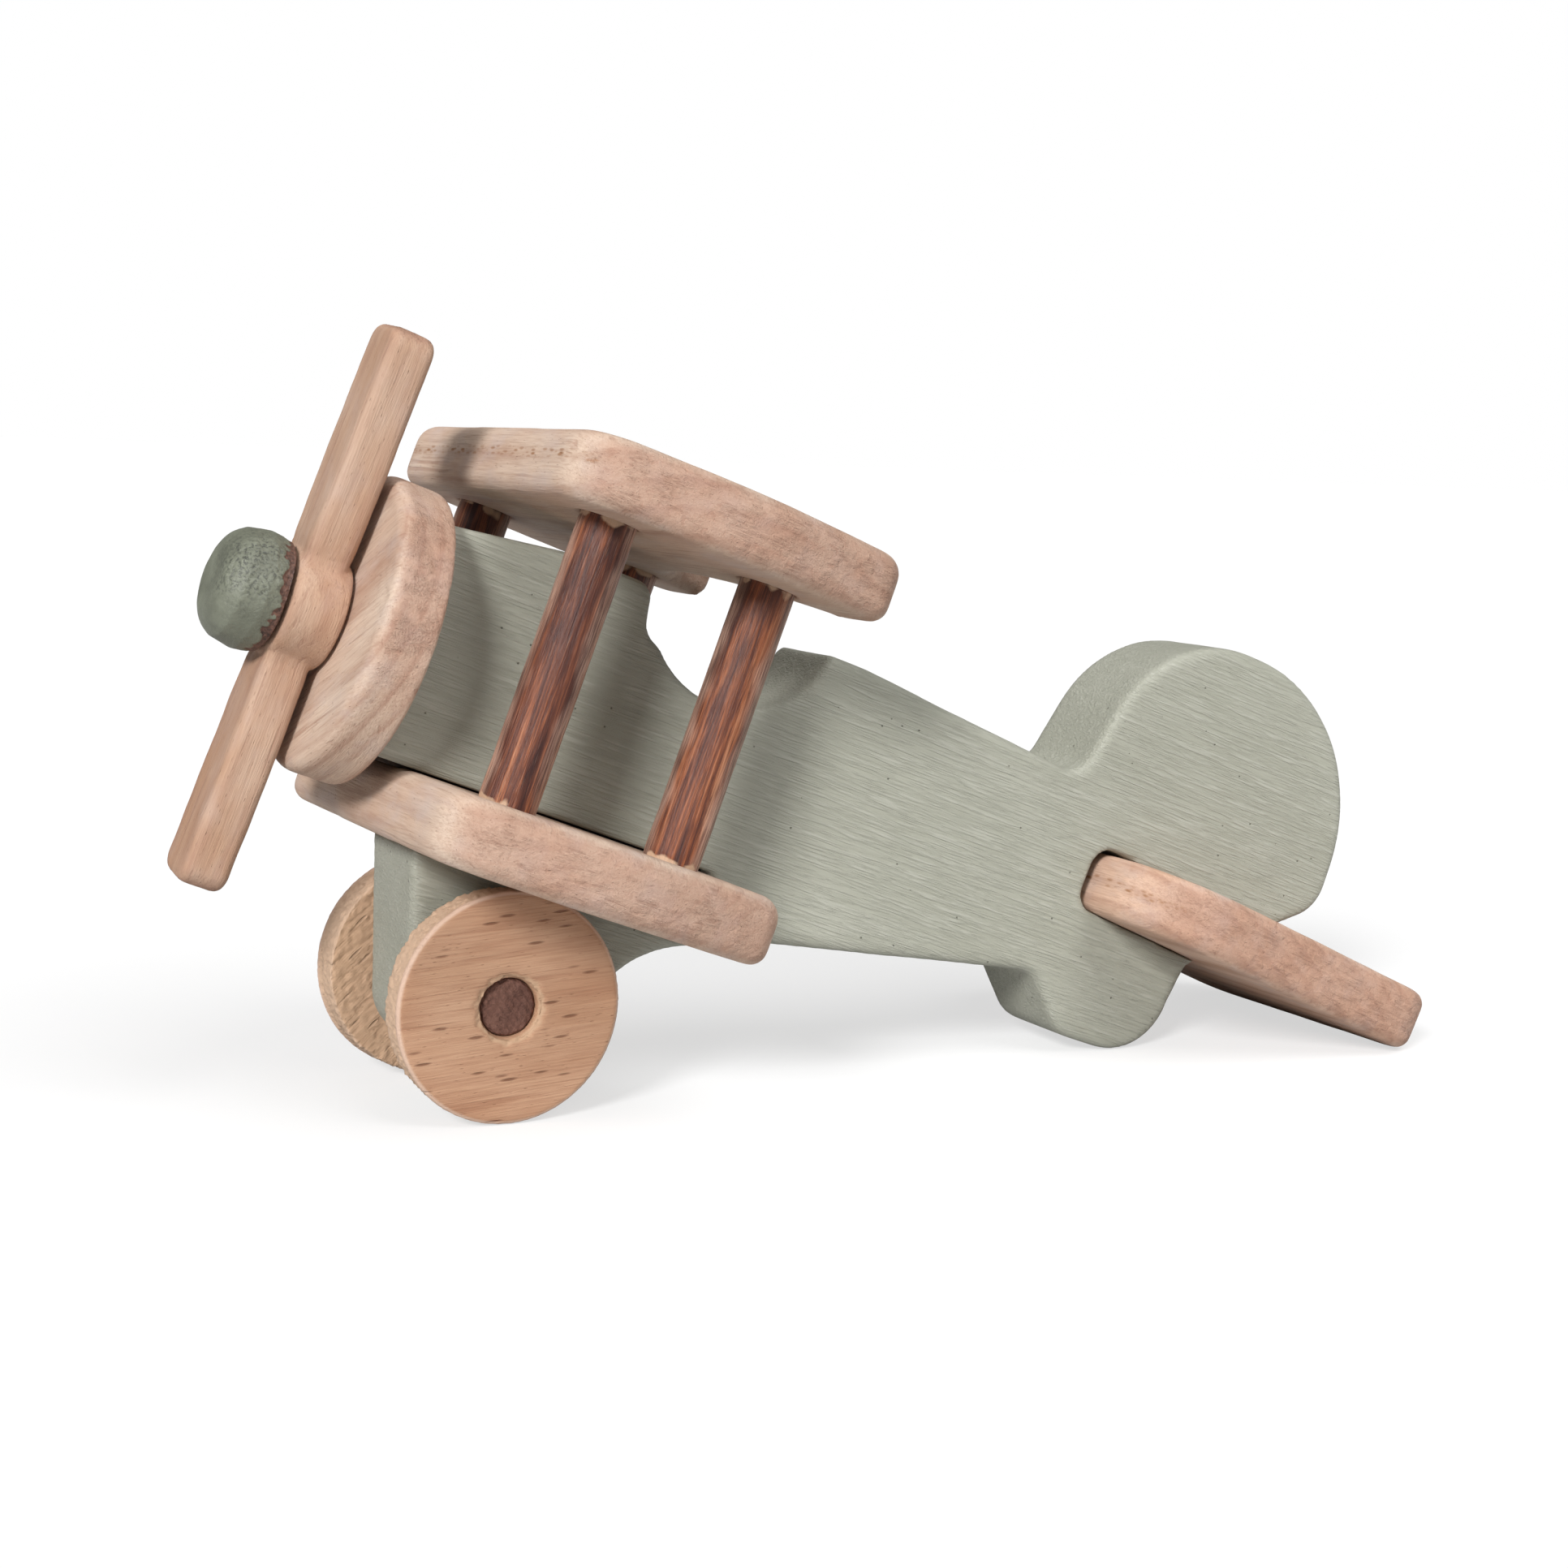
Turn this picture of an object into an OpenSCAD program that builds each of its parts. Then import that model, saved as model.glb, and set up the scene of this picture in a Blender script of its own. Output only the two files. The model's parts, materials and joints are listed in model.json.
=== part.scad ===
// Wooden toy biplane. Everything is drawn in the aeroplane's own frame (u to the tail, v to
// starboard, w up, origin at the middle of the axle) and stand() then sets it on its wheels
// and tail lobe: +X to the tail, +Y to starboard, +Z up, Z = 0 on the floor.

/* [Fuselage] */
// Thickness of the fuselage board
board_t = 22; // [18:0.5:26]
// Height of the deck above the axle
deck_w = 76; // [74:0.5:78]
// Radius of the cockpit notch
cockpit_r = 18.4; // [12:0.2:19]
// Radius of the tail lobe that touches the floor
lobe_r = 13; // [11:0.5:14]
// Station of the fuselage's front face
nose_u = -35; // [-36:0.5:-33]

/* [Wings] */
// Thickness of both wing boards
wing_t = 12; // [10:0.5:12]
// Chord of both wings
wing_chord = 62.5; // [60:0.5:64]
// Half of the wing span, without the bulge of the tips
wing_half = 43; // [40:0.5:46]
// How far the tip bulges past its corners, before rounding
tip_bulge = 6.3; // [3:0.1:8]
// Height of the lower wing's underside above the axle
lower_w = 20; // [20:0.5:21]
// Height of the upper wing's underside above the axle
upper_w = 81; // [80:0.5:84]
// Radius of the cut-out in the upper wing's trailing edge
cutout_r = 32; // [31:0.5:34]

/* [Tailplane] */
// Length of the tailplane from front to rear
tail_chord = 73; // [64:0.5:74]
// Half of the tailplane's span
tail_half = 34; // [28:0.5:38]
// Nose-up pitch of the tailplane to the fuselage, in degrees
tail_pitch = 4.2; // [3:0.1:4.2]

/* [Struts] */
// Diameter of the four struts
strut_d = 10; // [8:0.5:11]
// Distance of the struts from the centre plane
strut_v = 28; // [24:0.5:32]
// Depth of the strut holes in the wings
strut_socket = 7; // [4:0.5:8]

/* [Propeller] */
// Length of the propeller from tip to tip
prop_len = 99.5; // [90:0.5:108]
// Width of a blade
blade_w = 13; // [12:0.5:15]
// Thickness of a blade
blade_t = 7.8; // [5:0.1:9]
// Diameter of the propeller's hub
hub_d = 20; // [18:0.5:22]
// Turn of the propeller at rest, in degrees, with the top blade to port
prop_turn = 5.5; // [0:0.5:10]
// Diameter of the dowel that the propeller turns on
dowel_d = 8; // [6:0.5:9]

/* [Nose] */
// Diameter of the nose disc
disc_d = 52.5; // [46:0.5:54]
// Thickness of the nose disc
disc_t = 10; // [9:0.5:12]
// Largest diameter of the spinner
spinner_d = 20.4; // [16:0.2:22]
// Length of the spinner
spinner_len = 10.6; // [10:0.1:14]

/* [Wheels] */
// Diameter of the wheels
wheel_d = 40; // [36:0.5:42]
// Thickness of a wheel
wheel_t = 8; // [7:0.5:10]
// Diameter of the axle
axle_d = 10; // [8:0.5:10]
// Gap between a wheel and the side of the fuselage
wheel_gap = 3.2; // [1:0.1:4]
// How deep the axle's ends lie in the wheels
axle_recess = 1.2; // [1:0.1:4]

/* [Hidden] */
$fn = 96;

glue = 0.05;         // radial room of a glued dowel in its hole
run = 0.08;          // radial room of a dowel that turns in its hole
slack = 0.3;         // side room of a moving piece
cut = 1;             // how far a cutting tool stands past what it cuts
arc_step = 3;        // degrees between two points of a rounded corner
wheel_r = wheel_d / 2;
wheel_inner = board_t / 2 + wheel_gap; // from the centre plane to a wheel's inner face
wheel_outer = wheel_inner + wheel_t;
axle_half = wheel_outer - axle_recess;

wing_front = -29.5;  // leading edge of both wings
wing_rear = wing_front + wing_chord;
wing_corner_front = 11; // rounding of the wing tips' front corners
wing_corner_rear = 6;
tip_r = 60;          // how softly the tip bulges
cutout_deep = 18;    // depth of the cut-out at the centre plane
strut_u = [-15.5, 16];
slot_gap = 0.4;      // dark gap over the lower wing in its slot
slot_rear = wing_rear + 1;

cockpit_mid = [22.8, deck_w + 3.2];
lobe = [126.5, 37.8];

prop_w = 51.4;       // height of the propeller's axis over the axle
disc_front = nose_u - disc_t;
hub_t = 10;
blade_recess = 0.8;  // from the hub's front face back to the blades'
hub_rear = disc_front - slack;
hub_front = hub_rear - hub_t;
blade_front = hub_front + blade_recess;
blade_corner = 3.5;
neck_w = 11.5;       // width of the blade next to the hub
neck_gap = 2;        // from the hub to where the blade starts to widen
neck_run = 9;        // length over which it widens
neck_round = [6, 12]; // rounding at the two ends of that run
spinner_base = hub_front - slack;
spinner_hold = 8;    // depth of the dowel in the spinner
fuselage_hold = 22;  // and in the fuselage
dowel_front = spinner_base - spinner_hold;
dowel_rear = nose_u + fuselage_hold;

tail_front = 113;    // leading edge of the tailplane
tail_w = 55.4;       // height of its mid-plane there
tail_slot_gap = 2.4; // gap in front of it in its slot
tail_slot_room = 0.6; // over it in its slot
tail_slot_round = 4; // rounding of the slot's front corners
tail_corner_front = 19;
tail_corner_rear = 9;
tail_edge_front = 1.5; // rounding of its front edge, seen from the side
tail_edge_rear = 3.5;

// The floor touches the wheels and the lobe.
tilt = atan2(lobe.y, lobe.x) + asin((wheel_r - lobe_r) / norm(lobe));

function floor_x(u, w) = u * cos(tilt) + w * sin(tilt);
// Middle of the arc that rounds the tailplane's upper rear edge.
tail_arc = [tail_chord - tail_edge_rear, wing_t / 2 - tail_edge_rear];
tail_end = [tail_front + tail_arc.x * cos(tail_pitch) + tail_arc.y * sin(tail_pitch),
            tail_w - tail_arc.x * sin(tail_pitch) + tail_arc.y * cos(tail_pitch)];
prop_reach = (prop_len / 2 - blade_corner) * cos(prop_turn)
    + (blade_w / 2 - blade_corner) * sin(prop_turn) + blade_corner;
x_low = floor_x(blade_front, prop_w - prop_reach);
x_high = floor_x(tail_end.x, tail_end.y) + tail_edge_rear;
x_shift = -(x_low + x_high) / 2;

// Rounded outlines. Each corner is [x, y, radius], and its arc is worked out here.
function unit(a) = a / norm(a);
function turn(a) = a > 180 ? a - 360 : a < -180 ? a + 360 : a;
function arc(c, r, from, by, steps) =
    [for (k = [0:steps]) c + r * [cos(from + by * k / steps), sin(from + by * k / steps)]];
function corner(p, q, s, r) =
    let (a = unit(p - q), b = unit(s - q), half = acos(a * b) / 2,
         c = q + unit(a + b) * r / sin(half),
         start = q + a * r / tan(half) - c, end = q + b * r / tan(half) - c,
         from = atan2(start.y, start.x), by = turn(atan2(end.y, end.x) - from))
    arc(c, r, from, by, max(2, ceil(abs(by) / arc_step)));
function flat(p) = [p.x, p.y];
function rounded(c) = [for (i = [0:len(c) - 1])
    each c[i].z == 0 ? [flat(c[i])]
        : corner(flat(c[(i + len(c) - 1) % len(c)]), flat(c[i]), flat(c[(i + 1) % len(c)]), c[i].z)];

// Side view of the fuselage, from the nose over the deck, fin and lobe to the wheel leg.
fuselage_side = [
    [nose_u, deck_w - 3.4, 2], [-12, deck_w, 40], [4.4, deck_w + 0.2, 3.5],
    [cockpit_mid.x - cockpit_r + 1.5, 68, 4], [cockpit_mid.x, 60.8, 18], [38.5, 66, 14],
    [41.5, deck_w + 0.6, 1.2], [50, deck_w + 0.6, 30],
    [101.5, 73.2, 5], [109.8, 108, 27], [167.8, 108, 33.4], [167.8, 66, 9], [141, 47, 6],
    [lobe.x + lobe_r, lobe.y, 0], [lobe.x + lobe_r, lobe.y - lobe_r, lobe_r],
    [lobe.x - 10, lobe.y - lobe_r, 8], [106, 34.6, 5], [44, 22.4, 40], [25, 15, 22],
    [10, -12.5, 8], [-10.2, -12.5, 9], [-21.8, lower_w, 0.5], [nose_u, 33, 3]];

// The slot for the tailplane, open to the rear.
tail_slot = [[-tail_slot_gap, -wing_t / 2, tail_slot_round], [tail_chord, -wing_t / 2, 0],
             [tail_chord, wing_t / 2 + tail_slot_room, 0],
             [-tail_slot_gap, wing_t / 2 + tail_slot_room, tail_slot_round]];

module stand() { translate([x_shift, 0, wheel_r]) rotate([0, tilt, 0]) children(); }
// A board that lies in the centre plane, drawn in u and w.
module upright(t) { rotate([90, 0, 0]) linear_extrude(t, center = true) children(); }
module round_bar(d, from, to) { translate([0, 0, from]) cylinder(d = d, h = to - from); }
// A round bar along u on the propeller's axis.
module nose_bar(d, from, to) { translate([0, 0, prop_w]) rotate([0, 90, 0]) round_bar(d, from, to); }
// A round bar along v on the wheels' axis.
module axle_bar(d, from, to) { rotate([-90, 0, 0]) round_bar(d, from, to); }
module tail_pose() { translate([tail_front, 0, tail_w]) rotate([0, tail_pitch, 0]) children(); }

module cockpit() { translate(cockpit_mid) circle(r = cockpit_r); }

module fuselage() {
    color("#A3AA96") stand() difference() {
        upright(board_t) difference() {
            polygon(rounded(fuselage_side));
            cockpit();
            translate([nose_u - cut, lower_w])
                square([slot_rear - nose_u + cut, wing_t + slot_gap]);
        }
        tail_pose() upright(board_t + 2 * cut) polygon(rounded(tail_slot));
        axle_bar(axle_d + 2 * run, -board_t / 2 - cut, board_t / 2 + cut);
        nose_bar(dowel_d + 2 * glue, nose_u - cut, dowel_rear + glue);
    }
}

module nose_disc() {
    color("#D9B99A") stand() difference() {
        nose_bar(disc_d, disc_front, nose_u);
        nose_bar(dowel_d + 2 * glue, disc_front - cut, nose_u + cut);
    }
}

module wing_plan() {
    half = [[wing_front, -wing_half, wing_corner_front],
            [(wing_front + wing_rear) / 2, -wing_half - tip_bulge, tip_r],
            [wing_rear, -wing_half, wing_corner_rear]];
    polygon(rounded(concat(half, [for (i = [2:-1:0]) [half[i].x, -half[i].y, half[i].z]])));
}

module strut_holes(from) {
    for (u = strut_u, side = [-1, 1])
        translate([u, side * strut_v, from]) cylinder(d = strut_d + 2 * glue, h = strut_socket + cut);
}

module lower_wing() {
    color("#DDBFA2") stand() difference() {
        translate([0, 0, lower_w]) linear_extrude(wing_t) wing_plan();
        strut_holes(lower_w + wing_t - strut_socket);
    }
}

module upper_wing() {
    color("#DDBFA2") stand() difference() {
        translate([0, 0, upper_w]) linear_extrude(wing_t) difference() {
            wing_plan();
            translate([wing_rear - cutout_deep + cutout_r, 0]) circle(r = cutout_r);
        }
        strut_holes(upper_w - cut);
    }
}

// The plan with rounded corners, cut to a side view with rounded edges.
module tailplane() {
    plan = [[0, -tail_half, tail_corner_front], [tail_chord, -tail_half, tail_corner_rear],
            [tail_chord, tail_half, tail_corner_rear], [0, tail_half, tail_corner_front]];
    side = [[0, -wing_t / 2, tail_edge_front], [tail_chord, -wing_t / 2, tail_edge_rear],
            [tail_chord, wing_t / 2, tail_edge_rear], [0, wing_t / 2, tail_edge_front]];
    color("#D3A88B") stand() tail_pose() intersection() {
        translate([0, 0, -wing_t / 2]) linear_extrude(wing_t) polygon(rounded(plan));
        upright(2 * tail_half + cut) polygon(rounded(side));
    }
}

module strut(u, side) {
    color("#8A5540") stand() translate([u, side * strut_v, 0])
        round_bar(strut_d, lower_w + wing_t - strut_socket, upper_w + strut_socket);
}

// The cap is turned: a straight base, a taper and a rounded front, with a blind hole behind.
module spinner() {
    r = spinner_d / 2;
    color("#A3AA96") stand() translate([spinner_base, 0, prop_w]) rotate([0, -90, 0])
        rotate_extrude() difference() {
            polygon(rounded([[0, 0, 0], [r - 0.4, 0, 0.8], [r, spinner_len * 0.35, 5],
                             [r * 0.72, spinner_len, 2.6], [0, spinner_len, 0]]));
            translate([-cut, -cut]) square([dowel_d / 2 + glue + cut, spinner_hold + glue + cut]);
        }
}

module spinner_dowel() {
    color("#B58A68") stand() nose_bar(dowel_d, dowel_front, dowel_rear);
}

module blade_plan() {
    half = prop_len / 2;
    neck = hub_d / 2 + neck_gap;
    side = [[neck_w / 2, 0, 0], [neck_w / 2, neck, neck_round[0]],
            [blade_w / 2, neck + neck_run, neck_round[1]], [blade_w / 2, half, blade_corner]];
    polygon(rounded(concat([for (p = side) p], [for (i = [3:-1:0]) [-side[i].x, side[i].y, side[i].z]])));
}

module propeller() {
    color("#D8AE8E") stand() difference() {
        union() {
            nose_bar(hub_d, hub_front, hub_rear);
            translate([blade_front, 0, prop_w]) rotate([prop_turn, 0, 0]) rotate([90, 0, 90])
                linear_extrude(blade_t) {
                    blade_plan();
                    mirror([0, 1]) blade_plan();
                }
        }
        nose_bar(dowel_d + 2 * run, hub_front - cut, hub_rear + cut);
    }
}

module axle() { color("#7D5A48") stand() axle_bar(axle_d, -axle_half, axle_half); }

module wheel(side) {
    color("#CB9A73") stand() difference() {
        axle_bar(wheel_d, side > 0 ? wheel_inner : -wheel_outer, side > 0 ? wheel_outer : -wheel_inner);
        axle_bar(axle_d + 2 * glue, -wheel_outer - cut, wheel_outer + cut);
    }
}

fuselage();
nose_disc();
lower_wing();
upper_wing();
tailplane();
strut(strut_u[0], -1);  // strut_front_port
strut(strut_u[0], 1);  // strut_front_starboard
strut(strut_u[1], -1);  // strut_rear_port
strut(strut_u[1], 1);  // strut_rear_starboard
spinner();
spinner_dowel();
propeller();
axle();
wheel(-1);  // wheel_port
wheel(1);  // wheel_starboard
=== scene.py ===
"""A wooden toy biplane: sanded boards, dowels and wheels, brushed sage paint, and the light on it.

Lengths are in millimetres and become metres through MM. Pieces are made in the aeroplane's own
frame (x to the tail, y to starboard, z up, origin at the middle of the axle), and STAND sets them
on the floor. Two pieces have a frame of their own: the pitched tailplane and the turned propeller.
"""

import json
import math

import bpy
from mathutils import Matrix, Vector, noise

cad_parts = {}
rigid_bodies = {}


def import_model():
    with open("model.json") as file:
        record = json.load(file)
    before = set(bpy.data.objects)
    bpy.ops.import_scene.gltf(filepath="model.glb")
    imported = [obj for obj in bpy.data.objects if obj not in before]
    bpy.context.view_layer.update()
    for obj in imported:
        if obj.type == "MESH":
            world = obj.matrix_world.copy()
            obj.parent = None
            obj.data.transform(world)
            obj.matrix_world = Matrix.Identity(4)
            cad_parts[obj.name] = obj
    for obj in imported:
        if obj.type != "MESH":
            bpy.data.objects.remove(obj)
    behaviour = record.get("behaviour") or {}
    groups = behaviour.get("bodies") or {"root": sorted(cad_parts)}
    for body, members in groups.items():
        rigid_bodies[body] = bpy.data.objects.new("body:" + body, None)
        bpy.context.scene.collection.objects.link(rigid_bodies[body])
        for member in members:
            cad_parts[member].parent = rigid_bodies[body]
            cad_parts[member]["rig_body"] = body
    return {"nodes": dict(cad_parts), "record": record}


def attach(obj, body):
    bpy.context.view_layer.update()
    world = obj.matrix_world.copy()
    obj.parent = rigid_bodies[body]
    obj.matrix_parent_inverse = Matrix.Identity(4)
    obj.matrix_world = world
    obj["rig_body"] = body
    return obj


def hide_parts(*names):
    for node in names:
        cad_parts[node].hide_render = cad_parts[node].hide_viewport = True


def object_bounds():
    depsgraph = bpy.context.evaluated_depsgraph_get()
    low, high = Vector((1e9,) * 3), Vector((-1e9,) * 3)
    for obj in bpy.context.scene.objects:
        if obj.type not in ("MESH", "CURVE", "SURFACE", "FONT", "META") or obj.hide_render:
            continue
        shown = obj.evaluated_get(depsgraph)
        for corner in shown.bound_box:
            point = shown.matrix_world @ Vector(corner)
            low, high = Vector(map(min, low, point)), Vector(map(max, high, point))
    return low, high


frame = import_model()
cad_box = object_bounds()

MM = 0.001
NODES = frame["nodes"]
JOINTS = {joint["name"]: joint for joint in frame["record"]["behaviour"]["joints"]}
PORT, UP, DOWN = Vector((0, -1, 0)), Vector((0, 0, 1)), Vector((0, 0, -1))
TURNING_FIT, GLUED_FIT = 0.16 * MM, 0.1 * MM  # how much wider than its dowel a hole is

# ---- The three frames ------------------------------------------------------------------------
NOSE_WAY = Vector(JOINTS["propeller_spin"]["axis"])
AXLE_MID = Vector(JOINTS["wheel_spin"]["pos_m"])
STAND = Matrix.Translation(AXLE_MID) @ Matrix.Rotation(math.atan2(NOSE_WAY.z, -NOSE_WAY.x), 4, "Y")
HUB_MID = STAND.inverted() @ Vector(JOINTS["propeller_spin"]["pos_m"])
PROP_TURN = math.radians(5.5)
DISC_TURN = math.radians(-28)
SHEEN_WAY = Vector((0.88, -0.47, 0))  # the struts get a painted highlight, pale worn-looking wood, on the sides that face this way and back
PROP_LAY = STAND @ Matrix.Translation(HUB_MID) @ Matrix.Rotation(PROP_TURN, 4, "X")


def flat_top(node):
    """The way that a CAD board's flat top faces: the normal of its largest upward triangle."""
    faces = [f for f in NODES[node].data.polygons if f.normal.z > 0.5]
    return max(faces, key=lambda f: f.area).normal


TAIL_WAY = flat_top("tailplane")
TAIL_LAY = Matrix.Translation(AXLE_MID) @ Matrix.Rotation(math.atan2(TAIL_WAY.x, TAIL_WAY.z), 4, "Y")


def span(node, lay=STAND):
    """Lowest and highest corner of a CAD node in the frame that lay stands for."""
    points = [lay.inverted() @ v.co for v in NODES[node].data.vertices]
    low = Vector(min(p[i] for p in points) for i in range(3))
    high = Vector(max(p[i] for p in points) for i in range(3))
    return low, high


# ---- Bench tools -------------------------------------------------------------------------------
def clear_bench():
    """Leaves edit mode and deselects everything."""
    if bpy.context.object and bpy.context.object.mode == "EDIT":
        bpy.ops.object.mode_set(mode="OBJECT")
    bpy.ops.object.select_all(action="DESELECT")


def only(piece):
    """Selects this piece alone."""
    clear_bench()
    piece.select_set(True)
    bpy.context.view_layer.objects.active = piece


def pick(piece, kind, test):
    """Goes into edit mode with the faces, edges or points selected that the test says yes to.
    The test gets a face's centre and normal, an edge's two ends, or a point."""
    bpy.context.scene.tool_settings.mesh_select_mode = [kind == k for k in ("VERT", "EDGE", "FACE")]
    if piece.mode == "EDIT":
        bpy.ops.object.mode_set(mode="OBJECT")
    mesh = piece.data
    for part in (*mesh.vertices, *mesh.edges, *mesh.polygons):
        part.select = False
    if kind == "FACE":
        for face in mesh.polygons:
            face.select = test(face.center, face.normal)
    elif kind == "EDGE":
        for edge in mesh.edges:
            edge.select = test(*(mesh.vertices[i].co for i in edge.vertices))
    else:
        for point in mesh.vertices:
            point.select = test(point.co)
    bpy.ops.object.mode_set(mode="EDIT")


def finish_with(piece, kind, **settings):
    """Adds a modifier to a piece and applies it."""
    only(piece)
    modifier = piece.modifiers.new(kind.lower(), kind)
    for name, value in settings.items():
        setattr(modifier, name, value)
    bpy.ops.object.modifier_apply(modifier=modifier.name)


def added(name):
    """Names the primitive that was just added, and puts its place in its mesh."""
    piece = bpy.context.object
    piece.name = name
    bpy.ops.object.transform_apply(location=True, rotation=True, scale=True)
    return piece


def block(name, low, high):
    """A block between two corners."""
    clear_bench()
    bpy.ops.mesh.primitive_cube_add(size=1, location=(low + high) / 2, scale=high - low)
    return added(name)


def bar(name, d, start, end, sides=128):
    """A round bar of diameter d between two points."""
    along = end - start
    clear_bench()
    bpy.ops.mesh.primitive_cylinder_add(vertices=sides, radius=d / 2, depth=along.length,
                                        location=(start + end) / 2,
                                        rotation=along.to_track_quat("Z", "Y").to_euler())
    return added(name)


def traced(node, way, keep=lambda point: True):
    """The outline of a CAD board's flat side that faces way, filled as one face. Loops whose
    points keep says no to, such as a bore's, are left out."""
    piece = bpy.data.objects.new(node + "_board", NODES[node].data.copy())
    bpy.context.scene.collection.objects.link(piece)
    piece.data.transform(STAND.inverted())
    piece.data.materials.clear()
    only(piece)
    side = max(v.co.dot(way) for v in piece.data.vertices) - 0.02 * MM
    pick(piece, "FACE", lambda centre, normal: True)
    bpy.ops.mesh.remove_doubles(threshold=0.003 * MM)
    pick(piece, "FACE", lambda centre, normal: normal.dot(way) < 0.999 or centre.dot(way) < side)
    bpy.ops.mesh.delete(type="FACE")
    bpy.ops.mesh.select_all(action="SELECT")
    bpy.ops.mesh.region_to_loop()
    bpy.ops.mesh.duplicate()
    bpy.ops.mesh.select_all(action="INVERT")
    bpy.ops.mesh.delete(type="VERT")
    pick(piece, "VERT", lambda point: not keep(point))
    bpy.ops.mesh.delete(type="VERT")
    pick(piece, "EDGE", lambda a, b: True)
    bpy.ops.mesh.edge_face_add()
    return piece


def thicken(piece, way):
    """Draws a flat face out into a board."""
    bpy.ops.mesh.select_all(action="SELECT")
    bpy.ops.mesh.extrude_region_move(TRANSFORM_OT_translate={"value": way})
    bpy.ops.mesh.select_all(action="SELECT")
    bpy.ops.mesh.normals_make_consistent(inside=False)


def round_over(piece, radius, test, steps=5):
    """Rounds over the edges that the test says yes to."""
    only(piece)
    pick(piece, "EDGE", test)
    bpy.ops.mesh.bevel(offset=radius * MM, segments=steps, profile=0.5, affect="EDGES",
                       clamp_overlap=False)
    clear_bench()


def drill(piece, *cutters):
    """Takes the cutters out of a piece."""
    for cutter in cutters:
        finish_with(piece, "BOOLEAN", operation="DIFFERENCE", solver="EXACT", object=cutter)
        bpy.data.objects.remove(cutter)


def carve(piece, cell, soften):
    """Lays an even skin of small faces over a piece and softens its edges, as sanding does."""
    finish_with(piece, "REMESH", mode="VOXEL", voxel_size=cell * MM, use_smooth_shade=True)
    finish_with(piece, "SMOOTH", factor=0.5, iterations=soften)


def mark(piece, name, share):
    """Gives each point its share, from 0 to 1, as the vertex group name and as the attribute
    name_share that a finish can read. share gets the point and its normal."""
    shares = [min(1.0, max(0.0, share(v.co, v.normal))) for v in piece.data.vertices]
    attribute = piece.data.attributes.new(name + "_share", "FLOAT", "POINT")
    attribute.data.foreach_set("value", shares)
    group = piece.vertex_groups.new(name=name)
    for i, amount in enumerate(shares):
        if amount > 0:
            group.add([i], amount, "REPLACE")


def mark_end_grain(piece, grain, least, gain):
    """Marks where a board is cut across its grain. The share starts where the surface faces along
    the grain by the amount least, and rises by gain."""
    mark(piece, "end_grain", lambda p, n: (abs(n.dot(grain)) - least) * gain)


def weather(piece, size, depth, group=""):
    """Takes up to depth off the surface, in patches about as wide as size."""
    patches = bpy.data.textures.new(piece.name + "_weather", "CLOUDS")
    patches.noise_scale = size * MM
    finish_with(piece, "DISPLACE", texture=patches, texture_coords="LOCAL", strength=depth * MM,
                mid_level=1.0, vertex_group=group)


def middle_of(low, high):
    """The point halfway between two corners."""
    return (low + high) / 2


def on_plane(a, b, axis, value):
    """Whether an edge lies in the plane where that axis has that value."""
    return abs(a[axis] - value) < 0.02 * MM and abs(b[axis] - value) < 0.02 * MM


def two_sides(axis, low, high):
    """A test for the edges round a piece's two outer sides across an axis."""
    return lambda a, b: on_plane(a, b, axis, low[axis]) or on_plane(a, b, axis, high[axis])


def patchy(point, size, seed=0):
    """Soft noise from about -1 to 1 at a point, with patches about as wide as size."""
    return noise.noise(point / (size * MM) + Vector((seed * 17.3, 0, 0)))


# ---- The pieces --------------------------------------------------------------------------------
def make_fuselage():
    """The thick board that everything else is fixed to, with its slots and the axle's bore."""
    low, high = span("fuselage")
    axle_r = span("axle")[1].z
    wing_low, wing_high = span("lower_wing")
    tail_low, tail_high = span("tailplane", TAIL_LAY)
    to_tail = TAIL_LAY.inverted() @ STAND
    edge_round, room, past_side = 1.8, 0.8 * MM, 20 * MM
    piece = traced("fuselage", PORT, keep=lambda p: p.xz.length > axle_r + 1 * MM)
    thicken(piece, -PORT * (high.y - low.y))

    def in_slot(p):
        """Whether a point is in the slot of the lower wing or of the tailplane."""
        q = to_tail @ p
        at_wing = wing_low.z - room < p.z < wing_high.z + room and p.x < wing_high.x + 2 * room
        at_tail = tail_low.z - room < q.z < tail_high.z + room and q.x > tail_low.x - 4 * room
        return at_wing or at_tail

    at_side = two_sides(1, low, high)
    round_over(piece, edge_round, lambda a, b: at_side(a, b) and not (in_slot(a) and in_slot(b)))
    drill(piece, bar("axle_bore", 2 * axle_r + TURNING_FIT, PORT * past_side, -PORT * past_side))
    carve(piece, cell=0.75, soften=3)
    mark(piece, "open", lambda p, n: 0.0 if in_slot(p) else 1.0)
    weather(piece, size=14, depth=0.22, group="open")
    return piece


def make_slot_fill():
    """A near-black block over and behind the lower wing, back from both sides of its slot."""
    low, high = span("fuselage")
    wing_end = span("lower_wing")[1]
    port, starboard, top = 0.55 * low.y, 0.55 * high.y, wing_end.z + 0.6 * MM
    piece = block("slot_dark_block", Vector((low.x + 0.5 * MM, port, wing_end.z - 0.3 * MM)),
                  Vector((wing_end.x, starboard, top)))
    behind = block("slot_block_behind", Vector((wing_end.x - 0.7 * MM, port, wing_end.z - 4.2 * MM)),
                   Vector((wing_end.x + 0.4 * MM, starboard, top)))
    finish_with(piece, "BOOLEAN", operation="UNION", solver="EXACT", object=behind)
    bpy.data.objects.remove(behind)
    round_over(piece, 0.2, lambda a, b: True, steps=2)
    return piece


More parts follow.
